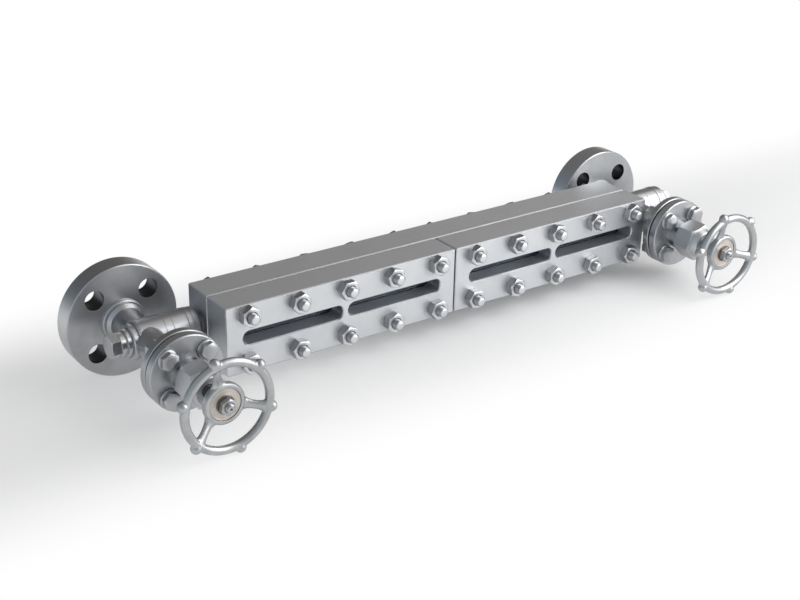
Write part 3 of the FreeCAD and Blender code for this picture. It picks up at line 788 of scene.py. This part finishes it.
@dataclass
class Workshop:
    """The loaded frame and the finishes, which every sub-assembly needs."""

    nodes: dict[str, Piece]
    finishes: Finishes

    def hand_over(self, piece: Piece, finish: str, slot: str, body: str, node: str) -> None:
        """Dresses a new piece and sets it in for a node of the frame.

        Args:
            piece: The new piece, in place.
            finish: The finish's name.
            slot: The name of a material slot; not used.
            body: The body that it moves with.
            node: The node that it stands for.
        """
        self.finishes.dress(piece, finish)
        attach(piece, body)
        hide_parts(node)
        faces = len(piece.data.polygons)
        LOG.info("%s: %d faces, stands for %s on %s", piece.name, faces, node, body)

    def keep(self, finishes: dict[str, str]) -> None:
        """Keeps nodes of the frame and gives each one its finish."""
        for node, finish in finishes.items():
            self.finishes.dress(self.nodes[node], finish)
            LOG.info("%s: kept, %s", node, finish)


@dataclass
class GaugeBody:
    """The chamber and its covers, with the glasses and the clamping studs and nuts."""

    shop: Workshop
    centre_x: float = 368.0
    stud_columns: tuple[float, ...] = (27.5, 89.75, 152.0, 214.25, 276.5)
    stud_row: float = 27.7
    stud_front: float = -160.8
    stud_turn_step: float = 37.0
    cover_front: float = -142.8
    chamber_back: float = -60.8
    nut_turn_step: float = 23.0
    front_nut_turn: float = 4.0
    rear_nut_turn: float = 11.0
    front_nut: HexNut = HexNut(21.0, 10.5, 12.6)
    rear_nut: HexNut = HexNut(20.0, 6.5, 12.6)
    stud: Turning = Turning((
        (0.0, 3.25), (0.25, 4.15), (0.7, 5.0), (1.3, 5.75), *steps(2.0, 10.0, 6.25, 0.278),
        *steps(105.0, 108.0, 6.25, 0.278), (109.0, 5.25),
    ), 28, 40, threads=(Thread(0.9, 10.0, 1.95, 0.8), Thread(105.0, 108.7, 1.95, 0.8)))

    def places(self) -> list[tuple[float, float]]:
        """The x and z of every stud, in millimetres."""
        columns = [-x for x in reversed(self.stud_columns)] + list(self.stud_columns)
        return [(self.centre_x + x, row * self.stud_row) for x in columns for row in (-1, 1)]

    def repeated(self, name: str, pattern: Piece, facing: Facing, seat: float,
                 turns: Sequence[float]) -> Piece:
        """Sets a fastener at the place of every stud, each at its own angle.

        Args:
            name: The name of the result.
            pattern: The fastener, which is used up.
            facing: The way the fasteners face.
            seat: The y of their own origin.
            turns: The angle of each one.

        Returns:
            One object with all of them.
        """
        copies = []
        for index, ((x, z), turn) in enumerate(zip(self.places(), turns)):
            matrix = Matrix.Translation(Vector((x, seat, z)) * MM) @ facing.turn(turn)
            copies.append(twin(pattern, f"{name}_{index}", matrix))
        bpy.data.objects.remove(pattern)
        return join(name, copies)

    def build(self) -> None:
        """Builds the fasteners and dresses the blocks and the glasses."""
        numbers = range(len(self.places()))
        stud_turns = [self.stud_turn_step * index for index in numbers]
        nut_turns = [self.nut_turn_step * index % HEXAGON_REPEAT for index in numbers]
        front_turns = [self.front_nut_turn + turn for turn in nut_turns]
        rear_turns = [self.rear_nut_turn + turn for turn in nut_turns]
        rows = (
            ("clamping_studs", self.stud, Facing.BACK, self.stud_front, stud_turns, "body_studs"),
            ("front_clamping_nuts", self.front_nut, Facing.FRONT, self.cover_front, front_turns,
             "front_nuts"),
            ("rear_clamping_nuts", self.rear_nut, Facing.BACK, self.chamber_back, rear_turns,
             "rear_nuts"),
        )
        for name, fastener, facing, seat, turns, node in rows:
            piece = self.repeated(name, fastener.build("pattern"), facing, seat, turns)
            self.shop.hand_over(piece, "bright_fastener", "fastener_steel", "gauge", node)
        self.shop.keep({"liquid_chamber": "ground_block"})
        for side in SIDES:
            self.shop.keep({
                f"cover_{side}": "ground_block", f"glass_{side}": "sight_glass",
                f"glass_gasket_{side}": "graphite", f"glass_cushion_{side}": "graphite",
            })


@dataclass(frozen=True)
class Handwheel:
    """The cast handwheel, plate, washer and nut about their own axis; the rim's middle is at 0."""

    rim_radius: float = 47.0
    rim_tube: float = 9.5
    knobs: int = 6
    knob_radius: float = 6.0
    knob_circle: float = 50.5
    phase: float = 104.4
    spokes: int = 3
    spoke_sections: tuple[Section, ...] = (
        (14.0, -8.5, 24.0, 7.4), (19.5, -8.5, 20.0, 7.4), (22.5, -8.1, 15.0, 7.0),
        (25.5, -7.3, 11.4, 6.8), (30.0, -5.5, 9.6, 6.6), (35.5, -3.3, 9.4, 6.6),
        (40.0, -1.6, 10.6, 6.9), (43.5, -0.5, 13.6, 7.4), (47.0, -0.1, 18.0, 7.6),
    )
    hub: Turning = Turning((
        (-19.0, 11.2), (-18.2, 12.0), (-12.9, 12.0), (-13.0, 20.5), (-12.4, 21.7), (-11.0, 22.5),
        (-6.2, 22.5), (-4.8, 21.9), (-4.0, 20.3),
    ))
    skin: float = 0.7
    quick_skin: float = 1.2
    softening: float = 0.6
    softening_rounds: int = 4
    faces_kept: float = 0.5
    shading: float = 40.0
    recess: Turning = Turning(((-5.8, 17.5), (2.0, 17.7)), 96)
    square: float = 11.0
    square_back: float = -20.0
    plate: Turning = Turning((
        (-5.8, 5.2), (-5.8, 17.3), (-5.05, 17.3), (-4.8, 17.05), (-4.8, 16.4), (-4.98, 16.15),
        (-4.98, 11.2), (-4.8, 11.0), (-4.8, 5.2), (-5.8, 5.2),
    ), 96, 25, ring=True)
    washer: Turning = Turning((
        (-4.8, 5.2), (-4.8, 10.0), (-3.6, 10.0), (-3.3, 9.7), (-3.3, 5.2), (-4.8, 5.2),
    ), 64, 25, ring=True)
    nut: HexNut = HexNut(16.0, 7.0, 10.1, 0.6)
    nut_seat: float = -3.3
    nut_turn: float = 20.0

    def spoke(self, angle: float) -> Piece:
        """One spoke, waisted between its root and a wider end, and dished towards the hub."""
        arm = lofted("spoke", self.spoke_sections)
        arm.rotation_euler.z = math.radians(angle)
        settle(arm)
        return arm

    def knob(self, angle: float) -> Piece:
        """One round knob on the rim."""
        turn = math.radians(angle)
        at = Vector((math.cos(turn), math.sin(turn), 0)) * self.knob_circle * MM
        deselect()
        bpy.ops.mesh.primitive_uv_sphere_add(
            segments=32, ring_count=20, radius=self.knob_radius * MM, location=at,
        )
        return newest("knob")

    def casting(self) -> Piece:
        """Builds the casting, run together and smoothed as cast metal is, and machined at the hub.

        Returns:
            The wheel about its own axis.
        """
        deselect()
        bpy.ops.mesh.primitive_torus_add(
            major_radius=self.rim_radius * MM, minor_radius=self.rim_tube / 2 * MM,
            major_segments=128, minor_segments=28,
        )
        parts = [newest("rim"), self.hub.build("hub")]
        for shape, number in ((self.knob, self.knobs), (self.spoke, self.spokes)):
            parts += [shape(self.phase - 360 * index / number) for index in range(number)]
        wheel = join("wheel", parts)
        skin = wheel.modifiers.new("skin", "REMESH")
        skin.mode = "VOXEL"
        skin.voxel_size = self.skin * MM
        soft = wheel.modifiers.new("soft", "SMOOTH")
        soft.factor = self.softening
        soft.iterations = self.softening_rounds
        thin = wheel.modifiers.new("thin", "DECIMATE")
        thin.ratio = self.faces_kept
        choose(wheel)
        for step in ("skin", "soft", "thin"):
            bpy.ops.object.modifier_apply(modifier=step)
        combine(wheel, self.recess.build("recess"), Joining.CUT)
        half = self.square / 2
        hole = block("hole", (-half, -half, self.square_back), (half, half, 0.0))
        combine(wheel, hole, Joining.CUT)
        smooth(wheel, self.shading)
        return wheel

    def build(self) -> tuple[Piece, ...]:
        """Builds the casting, the plate, the washer on it and the nut on the stem's end."""
        pieces = self.casting(), self.plate.build("plate"), self.washer.build("washer")
        return *pieces, place_up(self.nut.build("nut"), self.nut_seat, self.nut_turn)


@dataclass(frozen=True)
class BonnetBolt:
    """A hex bolt with a round base under its head and a thread at its end, seated at 0."""

    head: Hexagon = Hexagon(18.0, 7.0, both_ends=False, cone_reach=1.5, crown=0.5)
    head_seat: float = 2.5
    base: Turning = Turning(
        ((0.0, 10.6), (0.4, 11.0), (1.5, 11.0), (2.2, 10.5), (2.65, 9.4)), 56, 35)
    shank: Turning = Turning((
        (0.6, 6.0), *steps(-27.5, -32.3, 6.0, 0.25), (-33.1, 5.2), (-33.5, 4.4),
    ), 32, 40, threads=(Thread(-33.2, -27.5, 1.75, 0.7),))

    def build(self) -> Piece:
        """Builds one bolt."""
        head = place_up(self.head.build("head"), self.head_seat)
        smooth(head)
        return join("bolt", [head, self.base.build("base"), self.shank.build("shank")])


@dataclass(frozen=True)
class PackingNut:
    """A large hex nut with a round nose, bored for the boss, the packing follower and the stem."""

    hexagon: Hexagon = Hexagon(41.0, 26.0, cone_reach=1.25)
    nose: Turning = Turning(((23.0, 18.5), (26.0, 18.5), (32.6, 16.6), (33.5, 16.1), (34.0, 15.2)))
    bore: Turning = Turning((
        (-1.0, 15.6), (0.6, 15.0), (20.0, 15.0), (20.0, 7.5), (31.0, 7.5), (31.0, 10.0),
        (33.7, 10.0), (35.0, 11.3),
    ))

    def build(self) -> Piece:
        """Builds the nut from 0 to the end of its nose."""
        nut = self.hexagon.build("packing_nut")
        combine(nut, self.nose.build("nose"), Joining.ADD)
        combine(nut, self.bore.build("bore"), Joining.CUT)
        clean(nut)
        smooth(nut)
        return nut


@dataclass(frozen=True)
class Stem:
    """The stem about its own axis, measured from the connection's face.

    The shaft has a swivel head, a back seat, the working thread and a journal. The key is the
    square that turns with the wheel. The end has a thread for the nut and a centre drill.
    """

    shaft: Turning = Turning((
        (78.6, 3.7), (78.9, 4.0), (81.3, 4.0), (81.3, 2.5), (84.9, 2.5), (84.9, 6.4), (85.5, 7.0),
        (149.0, 7.0), (149.0, 9.6), (149.4, 10.0), (152.6, 10.0), (153.0, 9.6), (153.0, 8.0),
        *steps(153.4, 182.3, 8.0, 0.4), (182.3, 7.0), (242.3, 7.0),
    ), 40, 35, threads=(Thread(153.0, 182.3, 3.0, 0.95),))
    key: Turning = Turning(((242.3, 7.0), (255.5, 7.0)), 48)
    key_spare: float = 2.5
    end: Turning = Turning((
        (254.5, 5.0), *steps(255.0, 268.0, 5.0, 0.22)[1:], (268.5, 4.5), (269.0, 3.9),
        (269.0, 1.6), (268.6, 1.25), (266.2, 1.2), (265.6, 0.1),
    ), 40, 40, threads=(Thread(263.5, 268.8, 1.5, 0.6),))

    def build(self, flats: float) -> Piece:
        """Builds the stem.

        Args:
            flats: The width of the square across its flats.

        Returns:
            The stem.
        """
        half = flats / 2
        (start, _), (end, _) = self.key.stations
        key = self.key.build("key")
        trim = block("trim", (-half, -half, start - self.key_spare),
                     (half, half, end + self.key_spare))
        combine(key, trim, Joining.KEEP)
        smooth(key)
        return join("stem", [self.shaft.build("shaft"), key, self.end.build("end")])


@dataclass
class ValveTrim:
    """What both valves carry: bolted bonnet joint, packing nut, stem and handwheel."""

    shop: Workshop
    right_x: float = 697.0
    bolt_circle: float = 62.0
    bolts: int = 4
    first_bolt: float = 45.0
    bolt: BonnetBolt = BonnetBolt()
    bonnet_front: float = -179.8
    body_flange_back: float = -158.3
    head_turn: float = 10.0
    head_turn_step: float = 17.0
    bonnet_nut: HexNut = HexNut(18.0, 10.0, 12.1)
    nut_turn: float = 30.0
    boss_front: float = -192.3
    packing_nut: PackingNut = PackingNut()
    packing_turn: float = 12.0
    stem: Stem = Stem()
    rim_y: float = -261.3
    wheel: Handwheel = Handwheel()

    def bolt_places(self) -> list[tuple[float, float]]:
        """The x and z of the bonnet bolts."""
        step = 360 / self.bolts
        angles = [math.radians(self.first_bolt + step * index) for index in range(self.bolts)]
        radius = self.bolt_circle / 2
        return [(radius * math.cos(angle), radius * math.sin(angle)) for angle in angles]

    def bonnet_bolts(self) -> Piece:
        """Builds the bonnet bolts, each head at the angle where the spanner left it."""
        copies = []
        for index, (x, z) in enumerate(self.bolt_places()):
            turn = self.head_turn + self.head_turn_step * index
            at = (x, self.bonnet_front, z)
            copies.append(place(self.bolt.build(), Facing.FRONT, at, turn))
        return join("bonnet_bolts", copies)

    def bonnet_nuts(self) -> Piece:
        """Builds the nuts behind the joint."""
        copies = []
        for x, z in self.bolt_places():
            nut = self.bonnet_nut.build("bonnet_nut")
            copies.append(place(nut, Facing.BACK, (x, self.body_flange_back, z), self.nut_turn))
        return join("bonnet_nuts", copies)

    def on_stem(self, piece: Piece, y: float, turn: float = 0.0) -> Piece:
        """Sets a piece on the stem's axis, facing the front."""
        return place(piece, Facing.FRONT, (0, y, 0), turn)

    def build(self) -> None:
        """Builds the trim for the left valve, copies it for the right and dresses the rest."""
        pieces = (
            self.bonnet_bolts(), self.bonnet_nuts(),
            self.on_stem(self.packing_nut.build(), self.boss_front, self.packing_turn),
            self.on_stem(self.stem.build(self.wheel.square), 0),
            *(self.on_stem(piece, self.rim_y) for piece in self.wheel.build()),
        )
        rows = (
            ("bonnet_bolts", "bolt_steel", "fastener_steel", "gauge"),
            ("bonnet_nuts", "bolt_steel", "fastener_steel", "gauge"),
            ("packing_nut", "forged_nut", "forged_steel", "gauge"),
            ("stem", "stem_steel", "hard_steel", "wheel"),
            ("handwheel", "cast_wheel", "wheel_casting", "wheel"),
            ("wheel_plate", "wheel_plate", "wheel_plate", "wheel"),
            ("wheel_washer", "dark_fastener", "fastener_steel", "wheel"),
            ("wheel_nut", "bolt_steel", "fastener_steel", "wheel"),
        )
        across = Matrix.Translation((self.right_x * MM, 0, 0))
        for piece, (node, finish, slot, body) in zip(pieces, rows):
            other = twin(piece, f"right_{node}_piece", across)
            piece.name = f"left_{node}_piece"
            for side, one in zip(SIDES, (piece, other)):
                rides_on = f"{side}_wheel" if body == "wheel" else body
                self.shop.hand_over(one, finish, slot, rides_on, f"{side}_{node}")
        kept = {
            "valve_body": "turned_branch", "process_flange": "drilled_flange",
            "bonnet": "turned_flange", "bonnet_gasket": "graphite", "union_nut": "turned_branch",
            "seat_ring": "stem_steel", "needle": "stem_steel", "packing": "graphite",
            "packing_follower": "stem_steel",
        }
        for side in SIDES:
            self.shop.keep({f"{side}_{node}": finish for node, finish in kept.items()})


@dataclass
class EndFittings:
    """The plugs, the union tail and the nipple at the two ends of the body."""

    shop: Workshop

    def build(self) -> None:
        """Dresses the fittings, whose turned shapes are right as they are."""
        self.shop.keep({
            "left_union_tail": "turned_branch", "right_end_nipple": "turned_branch",
            "left_port_plug": "bolt_steel", "right_union_plug": "bolt_steel",
        })


@dataclass(frozen=True)
class Lamp:
    """A large soft lamp."""

    name: str
    target: Point
    place: Point
    size: float
    power: float
    tint: Colour

    def hang(self) -> None:
        """Hangs the lamp, facing its target."""
        way = Vector(self.place) - Vector(self.target)
        deselect()
        bpy.ops.object.light_add(type="AREA", location=self.place)
        lamp = bpy.context.object
        lamp.name = self.name
        lamp.rotation_euler = way.to_track_quat("Z", "Y").to_euler()
        lamp.data.size = self.size
        lamp.data.energy = self.power
        lamp.data.color = self.tint
        LOG.info("%s lamp: %.0f watts", self.name, self.power)


@dataclass
class Studio:
    """The white floor, the soft light and the camera."""

    floor_tilt: float = 2.5
    floor_y: float = -30.8
    floor_z: float = -65.0
    floor_size: float = 24.0
    white: float = 0.78
    near: float = 0.09
    far: float = 0.29
    left_glow_share: float = 0.46
    right_glow_share: float = 0.1
    under_band: Band = (0.0, 0.45)
    middle: tuple[float, float] = (0.1, -0.06)
    stretch: float = 0.12
    azimuth: float = -36.15
    elevation: float = 24.69
    roll: float = 1.31
    camera_at: Point = (-0.5865, -1.3419, 0.6777)
    lens: float = 64.75
    sensor: float = 36.0
    sight: float = 100.0
    lamps: tuple[Lamp, ...] = (
        Lamp("key", (0.36, -0.14, 0.0), (1.7, -0.35, 1.75), 1.8, 12.0, (1.0, 0.98, 0.955)),
        Lamp("fill", (0.45, -0.14, 0.0), (1.5, -1.3, 0.95), 2.0, 13.0, (0.98, 0.99, 1.0)),
        Lamp("side", (0.65, -0.14, 0.0), (1.25, -0.95, 0.5), 1.4, 12.0, (0.98, 0.99, 1.0)),
    )
    horizon: float = 0.45
    horizon_band: Band = (0.02, 0.18)
    sky: tuple[tuple[Point, float, Colour], ...] = (
        ((0.0, -1.0, 0.0), 0.5, (0.95, 0.975, 1.0)),
        ((0.6, 0.8, 0.0), 0.08, (1.0, 0.93, 0.86)),
        ((1.0, 0.0, 0.0), 0.3, (1.0, 0.955, 0.91)),
        ((-1.0, 0.0, 0.0), 0.73, (0.72, 0.88, 1.0)),
        ((0.0, 0.0, 1.0), 0.42, (1.0, 0.965, 0.93)),
    )

    def floor(self) -> None:
        """Lays the floor that the gauge rests on, at the tilt its wheels and flanges give it."""
        deselect()
        bpy.ops.mesh.primitive_grid_add(x_subdivisions=2, y_subdivisions=2, size=self.floor_size)
        floor = bpy.context.object
        floor.name = "floor"
        floor.rotation_euler.x = -math.radians(self.floor_tilt)
        floor.location = (self.middle[0], self.floor_y * MM, self.floor_z * MM)
        settle(floor)
        floor.data.materials.append(self.paper())
        LOG.info("floor: laid at %.1f degrees", self.floor_tilt)

    def paper(self) -> bpy.types.Material:
        """White paper that shows the shadow near the gauge and is plain white further away. Near
        the gauge a share of plain white glow is mixed in, more at the left than at the right:
        painted light that lightens the shadow.

        Returns:
            The node material.
        """
        material, graph = new_material("white_floor")
        x, y, _ = graph.split(graph.spot())
        along = graph.sum("MULTIPLY", graph.sum("SUBTRACT", x, self.middle[0]), self.stretch)
        away = graph.length(along, graph.sum("SUBTRACT", y, self.middle[1]))
        light = graph.add("ShaderNodeLightPath").outputs
        seen = graph.sum("MAXIMUM", light["Is Camera Ray"], light["Is Glossy Ray"])
        seen = graph.sum("MAXIMUM", seen, light["Is Transmission Ray"])
        # Painted light: near the gauge the floor glows by a share that falls from the left to the
        # right, lightening the shadow more at the left.
        under = graph.spread(x, *self.under_band, self.left_glow_share, self.right_glow_share)
        share = graph.sum("MULTIPLY", graph.spread(away, self.near, self.far, under), seen)
        matt = graph.add("ShaderNodeBsdfDiffuse", {"Color": opaque((self.white,) * 3)})
        plain = graph.add("ShaderNodeEmission", {"Color": opaque((1.0, 1.0, 1.0)), "Strength": 1.0})
        graph.show(graph.add("ShaderNodeMixShader", {
            0: share, 1: matt.outputs[0], 2: plain.outputs[0],
        }))
        return material

    def room(self) -> None:
        """Lights the room from each side by its own share, and a little along the horizon."""
        world = bpy.data.worlds.new("studio")
        bpy.context.scene.world = world
        world.use_nodes = True
        world.node_tree.nodes.clear()
        graph = Graph(world.node_tree)
        way = graph.add("ShaderNodeTexCoord").outputs["Generated"]
        height = graph.sum("ABSOLUTE", graph.split(way)[2])
        low = graph.spread(height, *self.horizon_band, self.horizon, 0.0)
        light = graph.vector(low, low, low)
        for side, strength, tint in self.sky:
            towards = graph.arrow("DOT_PRODUCT", {0: way, 1: side}, "Value")
            towards = graph.sum("MAXIMUM", towards, 0.0)
            level = graph.sum("MULTIPLY", graph.sum("MULTIPLY", towards, towards), strength)
            share = graph.arrow("SCALE", {0: tint, "Scale": level})
            light = graph.arrow("ADD", {0: light, 1: share})
        back = graph.add("ShaderNodeBackground", {"Color": light, "Strength": 1.0})
        graph.show(back, "ShaderNodeOutputWorld")
        LOG.info("room: lit from %d sides", len(self.sky))

    def camera(self) -> None:
        """Sets the camera where the picture was taken from."""
        azimuth, elevation = math.radians(self.azimuth), math.radians(self.elevation)
        level = math.cos(elevation)
        back = Vector((
            math.sin(azimuth) * level, -math.cos(azimuth) * level, math.sin(elevation)
        ))
        right = Vector((math.cos(azimuth), math.sin(azimuth), 0))
        roll = Matrix.Rotation(math.radians(self.roll), 3, "Z")
        turn = Matrix((right, back.cross(right), back)).transposed() @ roll
        deselect()
        bpy.ops.object.camera_add(location=self.camera_at, rotation=turn.to_euler())
        camera = bpy.context.object
        camera.name = "camera"
        camera.data.lens = self.lens
        camera.data.sensor_width = self.sensor
        camera.data.sensor_fit = "HORIZONTAL"
        camera.data.clip_end = self.sight
        bpy.context.scene.camera = camera
        LOG.info("camera: %.1f mm lens", self.lens)

    def build(self) -> None:
        """Sets up floor, light and camera."""
        self.floor()
        self.room()
        for lamp in self.lamps:
            lamp.hang()
        self.camera()
        bpy.context.scene.view_settings.view_transform = "Standard"


def main() -> None:
    """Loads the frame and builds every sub-assembly in order."""
    logging.basicConfig(level=logging.INFO, format="%(name)s %(message)s")
    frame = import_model()
    shop = Workshop(frame["nodes"], Finishes())
    GaugeBody(shop).build()
    ValveTrim(shop).build()
    EndFittings(shop).build()
    Studio().build()


if __name__ == "__main__":
    main()
